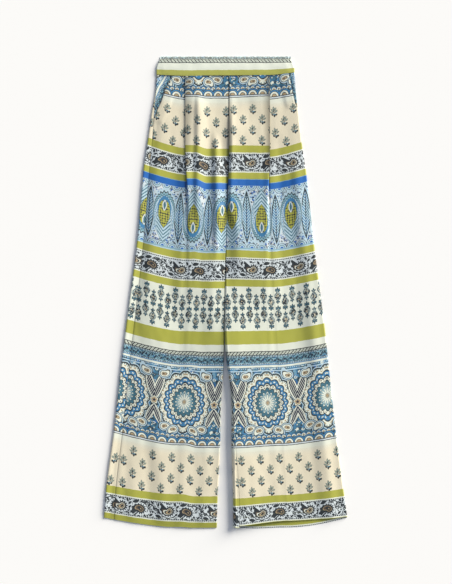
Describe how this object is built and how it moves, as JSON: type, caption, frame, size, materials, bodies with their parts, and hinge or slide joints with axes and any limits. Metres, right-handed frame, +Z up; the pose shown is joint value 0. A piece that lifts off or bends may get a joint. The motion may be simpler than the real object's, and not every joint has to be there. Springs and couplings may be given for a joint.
{
  "type": "palazzo pants",
  "caption": "Wide-leg pull-on palazzo pants laid flat, with a plain front waistband, a gathered back waistband, pressed front pleats and slanted pockets.",
  "frame": {"origin": "on the surface that the garment lies on, under the middle of its box", "axes": "+Y from the hems to the waist, +X towards the wearer's left, +Z up from the surface, out of the front"},
  "size_m": [0.5491, 1.0641, 0.0076],
  "materials": {
    "printed_cloth": "soft satin, printed",
    "pocket_cloth": "soft satin, printed",
    "waistband_cloth": "soft satin, printed",
    "gathered_cloth": "soft satin, gathered on elastic"
  },
  "bodies": {
    "root": {"front_right": "printed_cloth", "front_left": "printed_cloth", "back_right": "printed_cloth", "back_left": "printed_cloth", "pocket_right": "pocket_cloth", "pocket_left": "pocket_cloth", "waistband_front": "waistband_cloth", "waistband_back": "gathered_cloth"}
  },
  "joints": []
}
